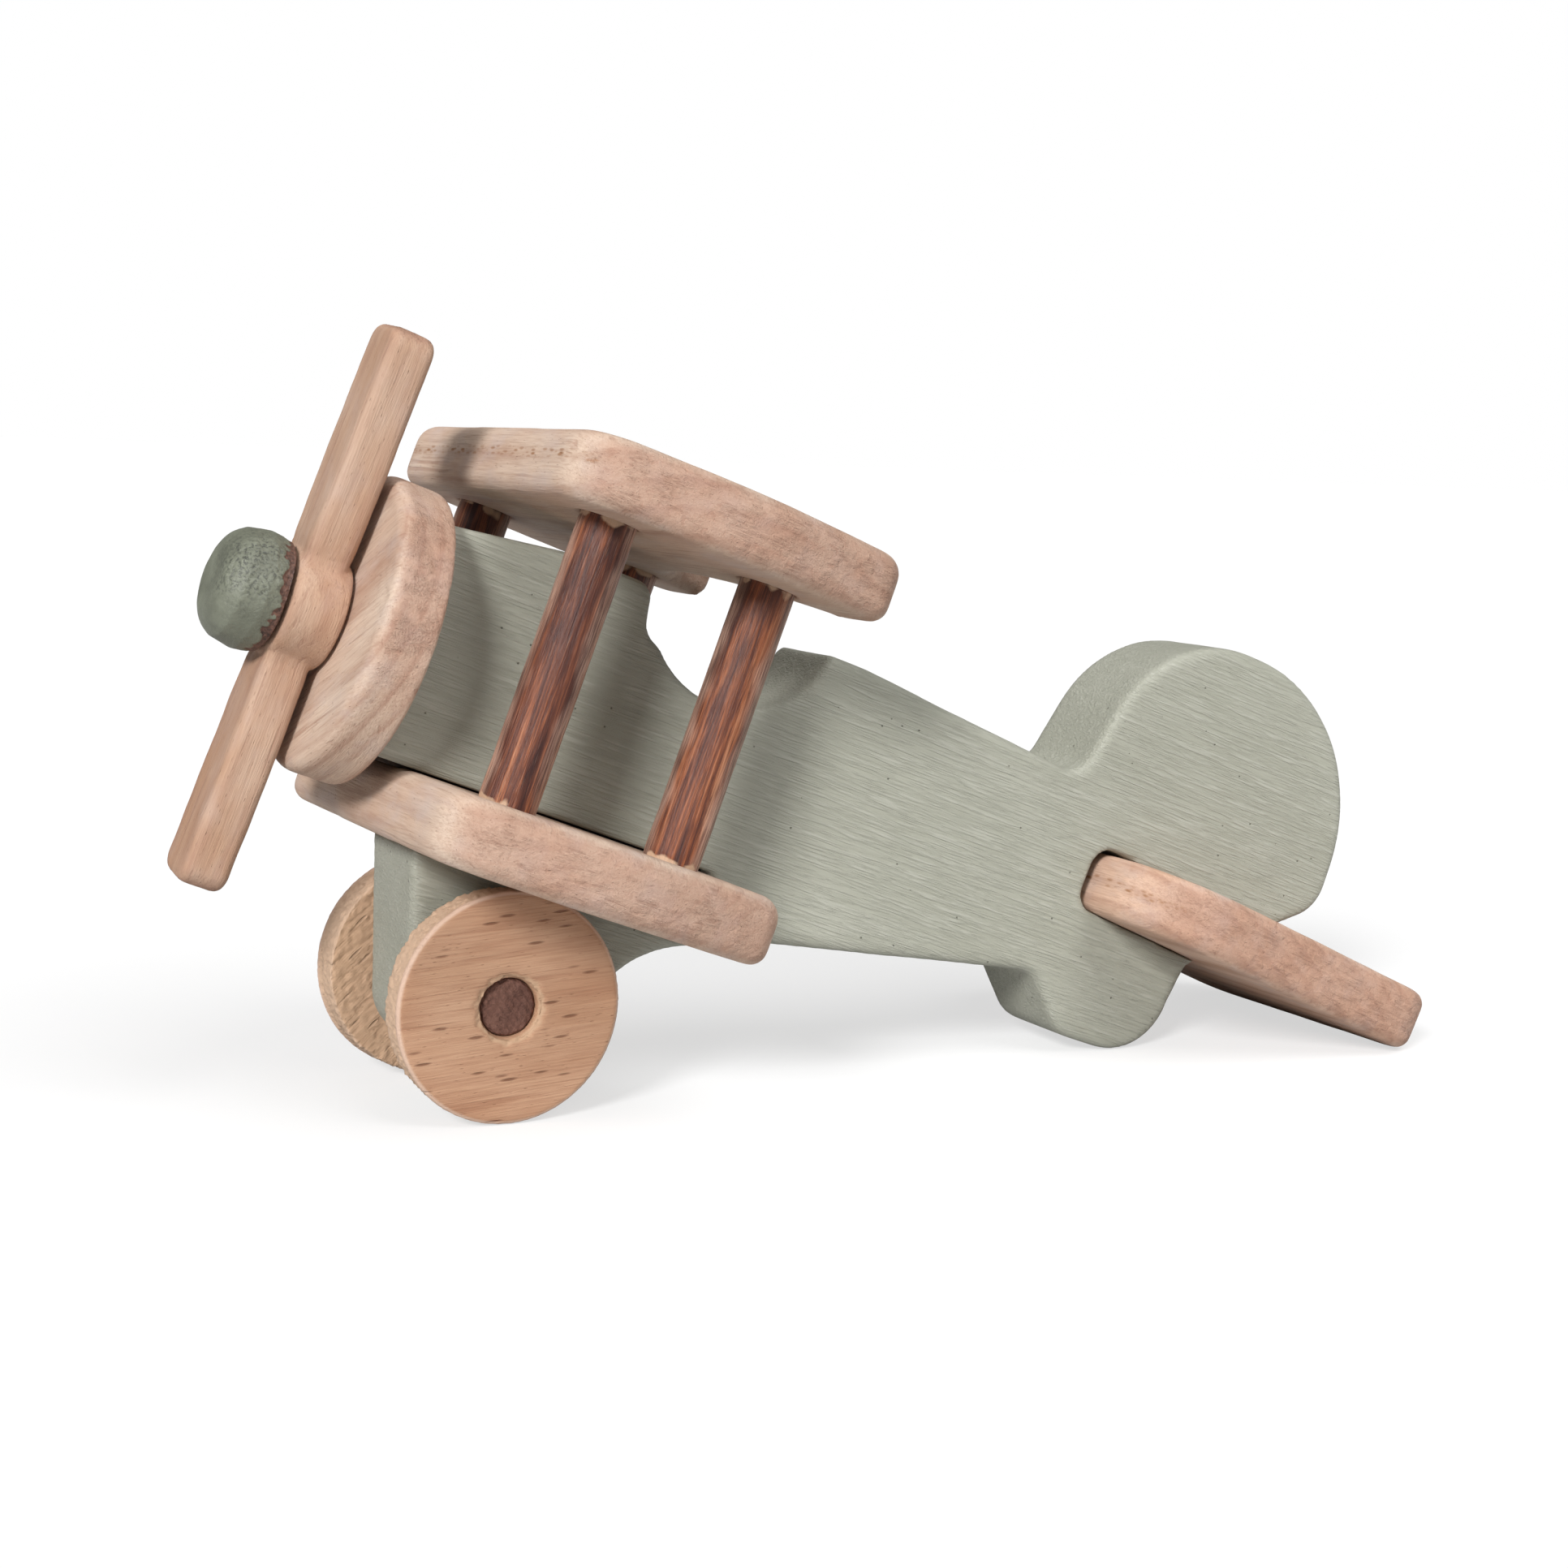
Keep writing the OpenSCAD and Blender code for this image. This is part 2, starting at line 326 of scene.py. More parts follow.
def mark_streak(piece, middle, above, wander, width):
    """Marks a wandering line of dark grain along a board's front edge, above the board's middle
    height. Millimetres, apart from middle; wander is how long its bends are."""

    def share(p, n):
        off = (p.z - middle) / MM - above - 0.6 * patchy(p, wander)
        return max(0.0, -n.x - 0.5) * 4 * max(0.0, 1 - abs(off) / width)

    mark(piece, "streak", share)


def make_wing(node, blind_side, top_radius, bottom_radius):
    """A wing board. blind_side is the way that its side without strut holes faces."""
    low, high = span(node)
    corner_round, corner_from, corner_to, past_board = 3, 20 * MM, 32 * MM, 2 * MM
    piece = traced(node, blind_side)
    thicken(piece, -blind_side * (high.z - low.z))
    near_cut = lambda p: abs(p.x - high.x) < 0.05 * MM and corner_from < abs(p.y) < corner_to
    round_over(piece, corner_round,
               lambda a, b: near_cut(a) and near_cut(b) and abs(a.y - b.y) < 0.01 * MM, steps=8)
    round_over(piece, top_radius, lambda a, b: on_plane(a, b, 2, high.z))
    round_over(piece, bottom_radius, lambda a, b: on_plane(a, b, 2, low.z))
    for strut in STRUTS:
        strut_low, strut_high = span(strut)
        middle = middle_of(strut_low, strut_high)
        hole_low = Vector((middle.x, middle.y, max(strut_low.z, low.z - past_board)))
        hole_high = Vector((middle.x, middle.y, min(strut_high.z, high.z + past_board)))
        drill(piece, bar("strut_hole", strut_high.x - strut_low.x + GLUED_FIT, hole_low, hole_high,
                         sides=48))
    carve(piece, cell=0.55, soften=3)
    mark_end_grain(piece, PORT, least=0.45, gain=3)
    mark(piece, "open", lambda p, n: (abs(p.y) / MM - 12) / 3)
    mark_streak(piece, middle_of(low, high).z, above=0.6, wander=24, width=0.9)
    weather(piece, size=13, depth=0.16, group="open")
    weather(piece, size=0.9, depth=0.07, group="end_grain")
    return piece


def make_tailplane():
    """The tail's board, rounded at its four corners and all round its edge."""
    low, high = span("tailplane", TAIL_LAY)
    front_round, rear_round, edge_round = 19, 9, 2.8
    piece = block("tailplane_board", low, high)
    upright = lambda a, b, end: abs(a.x - end) < 0.1 * MM and abs(b.x - end) < 0.1 * MM and (
        abs(a.y - b.y) < 0.1 * MM)
    round_over(piece, front_round, lambda a, b: upright(a, b, low.x), steps=14)
    round_over(piece, rear_round, lambda a, b: upright(a, b, high.x), steps=10)
    round_over(piece, edge_round, two_sides(2, low, high))
    carve(piece, cell=0.5, soften=3)
    mark_end_grain(piece, PORT, least=0.45, gain=3)
    mark_streak(piece, middle_of(low, high).z, above=0.4, wander=18, width=1.1)
    weather(piece, size=12, depth=0.16)
    weather(piece, size=0.8, depth=0.1, group="end_grain")
    return piece


def make_strut(node):
    """A dowel between the wings, torn where it goes into them, and with a painted highlight marked on
    two sides.
    """
    low, high = span(node)
    middle = middle_of(low, high)
    piece = bar(node + "_bar", high.x - low.x, Vector((middle.x, middle.y, low.z)),
                Vector((middle.x, middle.y, high.z)), sides=64)
    round_over(piece, 0.5, two_sides(2, low, high), steps=2)
    carve(piece, cell=0.4, soften=2)
    under, over = span("lower_wing")[1].z, span("upper_wing")[0].z

    def torn(p, n):
        """Torn fibres, close to where the strut goes into a wing."""
        end = min(abs(p.z - under), abs(p.z - over)) / MM
        return 0.5 - (end + 1.2 * patchy(p, 1.7) + 1.3 * patchy(p, 3.5, 7)) / 1.1

    mark(piece, "torn", torn)
    # painted highlight: marks two opposite sides of the strut for paler wood
    mark(piece, "painted_sheen", lambda p, n: (abs(n.dot(SHEEN_WAY)) - 0.62) * 3 + 0.7 * patchy(p, 5, 3))
    weather(piece, size=7, depth=0.16)
    weather(piece, size=0.7, depth=0.25, group="torn")
    return piece


def make_nose_disc():
    """The round board on the nose, with a patch of torn grain on its port side."""
    low, high = span("nose_disc")
    front_round, rear_round, past_board = 2.4, 1.0, Vector((MM, 0, 0))
    start, end = Vector((low.x, 0, HUB_MID.z)), Vector((high.x, 0, HUB_MID.z))
    piece = bar("nose_disc_board", high.y - low.y, start, end, sides=180)
    round_over(piece, front_round, lambda a, b: on_plane(a, b, 0, low.x))
    round_over(piece, rear_round, lambda a, b: on_plane(a, b, 0, high.x), steps=3)
    bore = span("spinner_dowel")[1].y * 2 + GLUED_FIT
    drill(piece, bar("dowel_bore", bore, start - past_board, end + past_board, sides=48))
    carve(piece, cell=0.5, soften=2)
    grain = Matrix.Rotation(DISC_TURN, 3, "X") @ Vector((0, 1, 0))
    mark_end_grain(piece, grain, least=0.55, gain=2.6)
    torn_at = Vector((middle_of(low, high).x - 2 * MM, low.y * 0.93, HUB_MID.z + 8 * MM))
    mark(piece, "pits", lambda p, n: 1.15 - (p - torn_at).length / (11 * MM) + 0.3 * patchy(p, 3))
    weather(piece, size=12, depth=0.12)
    weather(piece, size=0.8, depth=0.2, group="end_grain")
    weather(piece, size=1.3, depth=0.55, group="pits")
    return piece


def make_propeller():
    """A bar with rounded tips, a little narrower at the turned hub in its middle."""
    low, high = span("propeller", PROP_LAY)
    points = [PROP_LAY.inverted() @ v.co for v in NODES["propeller"].data.vertices]
    blade = [p for p in points if abs(p.z) > 0.6 * high.z]
    tip_round, edge_round, neck_width, sanded = 3.5, 1.9, 0.94, 0.3 * MM
    front, rear = min(p.x for p in blade) - sanded, max(p.x for p in blade) + sanded
    width = max(p.y for p in blade) + sanded
    hub_r = max(abs(p.y) for p in points)
    piece = block("propeller_board", Vector((front, -width, low.z + sanded)),
                  Vector((rear, width, high.z - 2 * sanded)))
    neck_end, neck_start = hub_r + 2 * MM, hub_r + 11 * MM
    for height in (-neck_start, -neck_end, neck_end, neck_start):
        pick(piece, "FACE", lambda centre, normal: True)
        bpy.ops.mesh.bisect(plane_co=(0, 0, height), plane_no=UP)
    pick(piece, "VERT", lambda p: abs(p.z) < neck_end + 0.1 * MM)
    bpy.ops.transform.resize(value=(1, neck_width, 1))
    clear_bench()

    def tip_corner(a, b):
        """Whether an edge is a corner of a blade's tip, from its front to its back."""
        at_tip = min(abs(a.z), abs(b.z)) > 0.9 * high.z
        return at_tip and abs(a.y - b.y) < 0.1 * MM and abs(a.z - b.z) < 0.1 * MM

    def outline(a, b):
        """Whether an edge goes round the front or the back, and isn't a cut across the neck."""
        outer = on_plane(a, b, 0, front) or on_plane(a, b, 0, rear)
        across = abs(a.z - b.z) < 0.01 * MM and any(
            abs(abs(a.z) - cut) < 0.01 * MM for cut in (neck_start, neck_end))
        return outer and not across

    round_over(piece, tip_round, tip_corner, steps=8)
    round_over(piece, edge_round, outline)
    hub = bar("hub", 2 * hub_r, Vector((low.x, 0, 0)), Vector((high.x, 0, 0)), sides=96)
    round_over(hub, 1.6, lambda a, b: on_plane(a, b, 0, low.x), steps=4)
    round_over(hub, 0.6, lambda a, b: on_plane(a, b, 0, high.x), steps=2)
    finish_with(piece, "BOOLEAN", operation="UNION", solver="EXACT", object=hub)
    bpy.data.objects.remove(hub)
    bore = span("spinner_dowel")[1].y * 2 + TURNING_FIT
    drill(piece, bar("bore", bore, Vector((2 * low.x, 0, 0)), Vector((2 * high.x, 0, 0)), sides=48))
    carve(piece, cell=0.42, soften=4)
    mark(piece, "end_grain", lambda p, n: (abs(n.z) - 0.5) * 3 * (abs(p.z) > 0.8 * high.z))
    mark(piece, "hub", lambda p, n: 1 - abs(abs(p.z) - hub_r + 0.5 * MM) / (2.2 * MM))
    weather(piece, size=8, depth=0.3)
    weather(piece, size=1.1, depth=0.35, group="hub")
    weather(piece, size=0.7, depth=0.12, group="end_grain")
    return piece


def make_spinner():
    """The painted cap: a turned profile, widest a third of the way from its base."""
    low, high = span("spinner")
    reach = high.x - low.x
    runs, radii, front_round = (0.35, 0.35, 0.3), (9.8, 10.2, 9.5, 7.3), 2.4
    clear_bench()
    bpy.ops.mesh.primitive_circle_add(vertices=96, radius=radii[0] * MM, fill_type="NGON",
                                      location=(high.x, 0, HUB_MID.z), rotation=(0, -math.pi / 2, 0))
    piece = added("spinner_cap")
    pick(piece, "FACE", lambda centre, normal: True)
    for run, before, after in zip(runs, radii, radii[1:]):
        bpy.ops.mesh.extrude_region_move(TRANSFORM_OT_translate={"value": (-run * reach, 0, 0)})
        bpy.ops.transform.resize(value=(1, after / before, after / before))
    bpy.ops.mesh.select_all(action="SELECT")
    bpy.ops.mesh.region_to_loop()
    bpy.ops.mesh.edge_face_add()
    bpy.ops.mesh.select_all(action="SELECT")
    bpy.ops.mesh.normals_make_consistent(inside=False)
    round_over(piece, front_round, lambda a, b: on_plane(a, b, 0, low.x))
    dowel_low, dowel_high = span("spinner_dowel")
    drill(piece, bar("dowel_hole", dowel_high.y * 2 + GLUED_FIT, Vector((dowel_low.x, 0, HUB_MID.z)),
                     Vector((high.x + 3 * MM, 0, HUB_MID.z)), sides=48))
    carve(piece, cell=0.28, soften=5)

    def painted(p, n):
        """The paint stops short of the base, in a ragged line."""
        ragged = 1.5 + 1.1 * patchy(p, 2.6) + 0.7 * patchy(p, 0.9, 3)
        return ((high.x - p.x) / MM - ragged) * 3

    def pitted(p, n):
        """Bubbles in the paint, gathered on the port side of the cap's front half."""
        place = Vector((low.x + 4 * MM, -7 * MM, HUB_MID.z + 4 * MM))
        return 0.25 + 1.1 * (1 - (p - place).length / (8 * MM)) + 0.3 * patchy(p, 2, 5)

    mark(piece, "painted", painted)
    mark(piece, "pitted", pitted)
    weather(piece, size=8, depth=0.35)
    finish_with(piece, "DISPLACE", strength=0.22 * MM, mid_level=0.0, vertex_group="painted")
    weather(piece, size=0.55, depth=0.55, group="pitted")
    return piece


def make_wheel(node):
    """A wheel with a rough tread, chipped where the axle comes out."""
    low, high = span(node)
    start, end = Vector((0, low.y, 0)), Vector((0, high.y, 0))
    piece = bar(node + "_disc", high.z - low.z, start, end, sides=192)
    round_over(piece, 0.8, two_sides(1, low, high), steps=3)
    axle_r = span("axle")[1].z
    drill(piece, bar("hub_hole", 2 * axle_r + GLUED_FIT, start + PORT * MM, end - PORT * MM, sides=64))
    carve(piece, cell=0.42, soften=2)
    face = high.y if low.y > 0 else low.y

    def chipped(p, n):
        """Chips round the hole on the wheel's outer face."""
        rim = abs(p.xz.length - axle_r) / MM - 0.5 - 0.7 * patchy(p, 1.6, 2)
        return (1 - rim) * (1 - abs(p.y - face) / (1.3 * MM))

    mark(piece, "chipped", chipped)
    mark(piece, "tread", lambda p, n: (p.xz.length - (high.z - 1.0 * MM)) / (0.7 * MM))
    weather(piece, size=9, depth=0.1)
    weather(piece, size=0.8, depth=0.9, group="chipped")
    weather(piece, size=0.8, depth=0.16, group="tread")
    return piece


def make_axle():
    """The axle, its two sawn ends left rough."""
    low, high = span("axle")
    piece = bar("axle_bar", high.z - low.z, Vector((0, low.y, 0)), Vector((0, high.y, 0)), sides=64)
    round_over(piece, 0.4, two_sides(1, low, high), steps=2)
    carve(piece, cell=0.33, soften=2)
    mark(piece, "end_grain", lambda p, n: (abs(p.y) - high.y + 0.8 * MM) / (0.5 * MM))
    weather(piece, size=0.7, depth=0.7, group="end_grain")
    return piece


# ---- Finishes ------------------------------------------------------------------------------------
BLEACH = (0.53, 0.44, 0.41)


class Finish:
    """A material. Each call adds a node and gives back what comes out of it."""

    def __init__(self, name, roughness, lay=STAND):
        self.material = bpy.data.materials.new(name)
        self.material.use_nodes = True
        self.tree = self.material.node_tree
        self.shader = self.tree.nodes["Principled BSDF"]
        self.shader.inputs["Roughness"].default_value = roughness
        at_rest = self.node("ShaderNodeTexCoord", {})["Object"]
        self.place = self.node("ShaderNodeMapping", {
            "Vector": at_rest, "Location": lay.to_translation(), "Rotation": lay.to_euler()},
            vector_type="TEXTURE")[0]

    def node(self, kind, wires, **settings):
        made = self.tree.nodes.new(kind)
        for name, value in settings.items():
            setattr(made, name, value)
        for socket, value in wires.items():
            self.wire(value, made.inputs[socket])
        return made.outputs

    def wire(self, value, socket):
        if isinstance(value, bpy.types.NodeSocket):
            self.tree.links.new(value, socket)
        else:
            socket.default_value = value

    def stretch(self, x, y, z):
        """Coordinates in which a feature of this size in millimetres is one unit large."""
        scale = (1 / (x * MM), 1 / (y * MM), 1 / (z * MM))
        return self.node("ShaderNodeMapping", {"Vector": self.place, "Scale": scale})[0]

    def noise(self, size, detail=2.0, rough=0.5, warp=0.0):
        return self.node("ShaderNodeTexNoise", {
            "Vector": self.stretch(*size), "Scale": 1.0, "Detail": detail, "Roughness": rough,
            "Distortion": warp})[0]

    def spots(self, size):
        """Distance to the nearest of many scattered points, one in each cell of that size."""
        wires = {"Vector": self.stretch(*size), "Scale": 1.0}
        return self.node("ShaderNodeTexVoronoi", wires)["Distance"]

    def share(self, name):
        """What mark() wrote on the piece."""
        return self.node("ShaderNodeAttribute", {}, attribute_name=name + "_share")["Fac"]

    def math(self, operation, a, b=0.0):
        return self.node("ShaderNodeMath", {0: a, 1: b}, operation=operation)[0]

    def ramp(self, value, *stops):
        """A colour for each value between the stops, which are (value, colour or grey)."""
        made = self.tree.nodes.new("ShaderNodeValToRGB")
        band = made.color_ramp
        while len(band.elements) < len(stops):
            band.elements.new(1.0)
        for element, (position, tone) in zip(band.elements, stops):
            element.position = position
            element.color = (*((tone,) * 3 if isinstance(tone, (int, float)) else tone), 1.0)
        self.wire(value, made.inputs[0])
        return made.outputs[0]

    def mix(self, share, a, b, blend="MIX"):
        made = self.tree.nodes.new("ShaderNodeMix")
        made.data_type, made.blend_type = "RGBA", blend
        for value, socket in ((share, made.inputs[0]), (a, made.inputs[6]), (b, made.inputs[7])):
            self.wire((*value, 1.0) if isinstance(value, tuple) else value, socket)
        return made.outputs[2]

    def growth_rings(self, heart, ring, along, wobble):
        """Sawtooth of the growth rings round a heart line that runs along an axis (0, 1 or 2).
        The heart's place and the width of a ring are in millimetres."""
        flat = [1.0 / (ring * MM)] * 3
        flat[along] = 0.02 / (ring * MM)
        centre = [-heart[i] * MM * flat[i] for i in range(3)]
        laid = self.node("ShaderNodeMapping", {
            "Vector": self.place, "Scale": flat, "Location": centre})[0]
        radius = self.node("ShaderNodeVectorMath", {0: laid}, operation="LENGTH")["Value"]
        sway = [26.0] * 3
        sway[along] = 70.0
        bent = self.math("MULTIPLY", self.noise(sway, 3.0, 0.5), wobble)
        return self.math("FRACT", self.math("ADD", radius, bent))

    def raise_by(self, height, depth, under=None):
        """A bump of that depth in millimetres, on top of the one under it."""
        wires = {"Height": height, "Distance": depth * MM, "Strength": 1.0}
        if under:
            wires["Normal"] = under
        return self.node("ShaderNodeBump", wires)[0]

    def done(self, colour, normal):
        self.wire(colour, self.shader.inputs["Base Color"])
        self.wire(normal, self.shader.inputs["Normal"])
        return self.material


def bare_wood(name, along, pale, warm, dark, heart, ring, lay=STAND, roughness=0.72, wobble=1.6,
              fibre=7.0, figure=0.5, bleach=0.45, streak=0.5, end_mark=None,
              end_size=(0.42, 0.42, 0.42), lines=()):
    """Raw sanded wood. along is the axis of the grain, and figure, bleach and streak are how
    strong its rings, its faded patches and its dark streaks show. The share end_mark says where
    it is cut across, with crumbs of end_size, and the shares in lines have dotted dark lines."""
    f = Finish(name, roughness, lay)
    f.shader.inputs["Specular IOR Level"].default_value = 0.3

    def lengthwise(across, long):
        size = [across] * 3
        size[along] = long
        return size

    rings = f.growth_rings(heart, ring, along, wobble)
    late = f.ramp(rings, (0.0, 0.0), (0.45, 0.12), (0.86, 1.0), (1.0, 0.05))
    fibres = f.noise(lengthwise(0.34, fibre), 4.0, 0.62, 0.15)
    patches = f.noise(lengthwise(9, 26), 3.0, 0.5)
    patch = f.ramp(patches, (0.36, 0.0), (0.64, 1.0))
    streaks = f.ramp(f.noise(lengthwise(1.5, 40), 3.0, 0.6, 0.4), (0.57, 0.0), (0.68, 1.0))
    base = f.mix(patch, pale, warm)
    shown = f.math("MULTIPLY", late, f.math("MULTIPLY", f.math("ADD", patch, 0.35), figure))
    base = f.mix(shown, base, dark)
    base = f.mix(f.math("MULTIPLY", streaks, streak), base, dark)
    base = f.mix(f.ramp(fibres, (0.30, 0.40), (0.60, 0.0)), base, dark)
    bleached = f.ramp(f.noise(lengthwise(6, 11), 3.0, 0.6), (0.48, 0.0), (0.72, bleach))
    base = f.mix(bleached, base, BLEACH)
    pores = f.spots(lengthwise(0.5, 2.6))
    pore = f.ramp(pores, (0.05, 1.0), (0.17, 0.0))
    base = f.mix(f.math("MULTIPLY", pore, 0.4), base, dark)
    bump = f.raise_by(fibres, 0.15)
    bump = f.raise_by(f.math("SUBTRACT", 1.0, pore), 0.07, bump)
    bump = f.raise_by(f.math("SUBTRACT", 1.0, streaks), 0.05, bump)
    if end_mark:
        crumbs = f.noise(end_size, 4.0, 0.7, 0.4)
        rubbed = f.ramp(f.noise((4.5, 4.5, 3.0), 2.0, 0.6), (0.42, 0.15), (0.6, 1.0))
        ends = f.math("MULTIPLY", f.share(end_mark), rubbed)
        rough_end = f.math("MULTIPLY", ends, f.ramp(crumbs, (0.34, 0.6), (0.54, 0.0)))
        base = f.mix(f.math("MULTIPLY", f.share(end_mark), 0.55), base, tuple(1.15 * c for c in dark))
        base = f.mix(rough_end, base, tuple(0.8 * c for c in dark))
        bump = f.raise_by(f.math("MULTIPLY", ends, crumbs), 0.3, bump)
    for line in lines:
        dots = f.ramp(f.spots((1.0, 2.4, 0.7)), (0.22, 1.0), (0.5, 0.15))
        base = f.mix(f.math("MULTIPLY", f.share(line), dots), base, (0.33, 0.17, 0.09))
    return f, base, bump


def sage_paint():
    """Brushed paint over the wood's grain, which runs along the fuselage."""
    f = Finish("sage_paint", 0.55)
    ridges = f.noise((9.0, 0.75, 0.42), 3.0, 0.6, 0.35)
    strokes = f.noise((26.0, 2.2, 1.4), 3.0, 0.55, 0.3)
    patches = f.noise((34.0, 20.0, 18.0), 2.0, 0.5)
    fine = f.noise((0.5, 0.3, 0.22), 3.0, 0.6)
    tone = f.mix(f.ramp(patches, (0.35, 0.0), (0.7, 1.0)), (0.350, 0.352, 0.290), (0.392, 0.394, 0.330))
    tone = f.mix(f.ramp(strokes, (0.35, 0.5), (0.6, 0.0)), tone, (0.315, 0.318, 0.258))
    # painted highlight: the brush ridges are lighter in colour as well as raised by the bump
    tone = f.mix(f.ramp(ridges, (0.52, 0.0), (0.70, 0.55)), tone, (0.455, 0.455, 0.395))
    pits = f.spots((4.2, 3.4, 3.6))
    pit = f.ramp(pits, (0.03, 1.0), (0.055, 0.0))
    tone = f.mix(f.math("MULTIPLY", pit, 0.8), tone, (0.10, 0.10, 0.07))
    bump = f.raise_by(f.ramp(ridges, (0.42, 0.0), (0.62, 1.0)), 0.11)
    bump = f.raise_by(strokes, 0.16, bump)
    bump = f.raise_by(fine, 0.05, bump)
    bump = f.raise_by(f.math("SUBTRACT", 1.0, pit), 0.2, bump)
    return f.done(tone, bump)


def cap_paint():
    """Thick pitted paint on the spinner, with dark wood where it stops."""
    f = Finish("spinner_paint", 0.5)
    patches = f.noise((5.0, 5.0, 5.0), 3.0, 0.55)
    crumbs = f.noise((0.6, 0.6, 0.6), 4.0, 0.65, 0.5)
    patch = f.ramp(patches, (0.35, 0.0), (0.7, 1.0))
    paint = f.mix(patch, (0.135, 0.142, 0.105), (0.195, 0.206, 0.155))
    # dark specks over the pitted patch of the cap
    pit_specks = f.math("MULTIPLY", f.share("pitted"), f.ramp(crumbs, (0.40, 0.95), (0.52, 0.0)))
    paint = f.mix(pit_specks, paint, (0.055, 0.058, 0.047))
    wood = f.ramp(crumbs, (0.35, (0.035, 0.018, 0.014)), (0.62, (0.17, 0.085, 0.06)))
    base = f.mix(f.ramp(f.share("painted"), (0.35, 0.0), (0.55, 1.0)), wood, paint)
    bump = f.raise_by(crumbs, 0.16)
    bump = f.raise_by(patches, 0.3, bump)
    return f.done(base, bump)


def strut_wood(name, seed):
    """Stained dowel: long dark and light streaks, and pale torn wood at its two ends."""
    f = Finish(name, 0.42)
    f.shader.inputs["Specular IOR Level"].default_value = 0.35
    shift = Matrix.Translation((0, 0, seed * 31 * MM))
    f.place = f.node("ShaderNodeMapping", {"Vector": f.place, "Location": shift.to_translation()})[0]
    streaks = f.noise((2.0, 2.0, 38.0), 4.0, 0.68, 0.5)
    fibres = f.noise((0.3, 0.3, 7.0), 4.0, 0.65, 0.2)
    base = f.ramp(streaks, (0.38, (0.040, 0.014, 0.012)), (0.48, (0.135, 0.042, 0.023)),
                  (0.58, (0.30, 0.095, 0.038)), (0.70, (0.44, 0.19, 0.095)))
    base = f.mix(f.ramp(fibres, (0.35, 0.9), (0.56, 0.0)), base, (0.065, 0.022, 0.016))
    base = f.mix(f.ramp(fibres, (0.58, 0.0), (0.72, 0.3)), base, (0.42, 0.22, 0.14))
    # painted highlight: the marked sides of the strut are mixed towards pale wood
    painted_sheen = f.math("MULTIPLY", f.share("painted_sheen"), f.ramp(fibres, (0.40, 0.2), (0.56, 1.0)))
    base = f.mix(f.math("MULTIPLY", painted_sheen, 0.75), base, (0.58, 0.37, 0.28))
    torn = f.ramp(f.share("torn"), (0.15, 0.0), (0.6, 0.85))
    base = f.mix(torn, base, (0.62, 0.42, 0.28))
    bump = f.raise_by(fibres, 0.17)
    bump = f.raise_by(streaks, 0.15, bump)
    return f.done(base, bump)


def board_wood(name, lay=STAND, **look):
    """Pale beech board with its grain along the span and end grain on its tips."""
    look = dict(along=1, pale=(0.64, 0.50, 0.395), warm=(0.585, 0.415, 0.31), dark=(0.33, 0.18, 0.125),
                end_mark="end_grain", lay=lay) | look
    f, base, bump = bare_wood(name, **look)
    return f.done(base, bump)


def wheel_wood(node, turn, seed):
    """Orange beech with short dark flecks, and a paler, rougher tread."""
    shift = Matrix.Translation((seed * 40 * MM, 0, seed * 23 * MM))
    side = STAND @ shift @ Matrix.Rotation(turn, 4, "Y")
    f, base, bump = bare_wood(node + "_beech", along=0, pale=(0.56, 0.345, 0.222),
                              warm=(0.49, 0.280, 0.168), dark=(0.30, 0.135, 0.075),
                              heart=(0, 30, 90), ring=9.0, lay=side, roughness=0.62,
                              figure=0.25, bleach=0.0, fibre=10.0)
    flecks = f.spots((9.0, 60.0, 1.5))
    fleck = f.ramp(flecks, (0.10, 1.0), (0.20, 0.0))
    base = f.mix(f.math("MULTIPLY", fleck, 0.75), base, (0.16, 0.062, 0.032))
    base = f.mix(f.ramp(f.share("tread"), (0.2, 0.0), (0.8, 0.75)), base, (0.70, 0.51, 0.40))
    base = f.mix(f.ramp(f.share("chipped"), (0.2, 0.0), (0.7, 0.6)), base, (0.58, 0.40, 0.26))
    bump = f.raise_by(f.math("SUBTRACT", 1.0, fleck), 0.12, bump)
    return f.done(base, bump)


def slot_fill_brown():
    """Near-black brown with crumbs in it."""
    f = Finish("slot_fill_brown", 0.6)
    crumbs = f.noise((1.2, 1.2, 0.4), 3.0, 0.6)
    tone = f.ramp(crumbs, (0.35, (0.018, 0.011, 0.008)), (0.7, (0.06, 0.035, 0.022)))
    return f.done(tone, f.raise_by(crumbs, 0.1))


# ---- The aeroplane ---------------------------------------------------------------------------
STRUTS = [f"strut_{place}_{side}" for place in ("front", "rear") for side in ("port", "starboard")]


def set_down(piece, finish, lay):
    """Moves a piece from its own frame to its place on the floor, and gives it its finish."""
    only(piece)
    piece.matrix_world = lay
    bpy.ops.object.transform_apply(location=True, rotation=True, scale=True)
    piece.data.materials.clear()
    piece.data.materials.append(finish)


def fit(piece, node, finish, lay=STAND):
    """Puts a finished piece in its place, in the stead of its CAD node."""
    set_down(piece, finish, lay)
    piece.name = node + "_wood"
    bpy.ops.object.shade_smooth()
    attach(piece, NODES[node]["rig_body"])
    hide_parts(node)


fit(make_fuselage(), "fuselage", sage_paint())
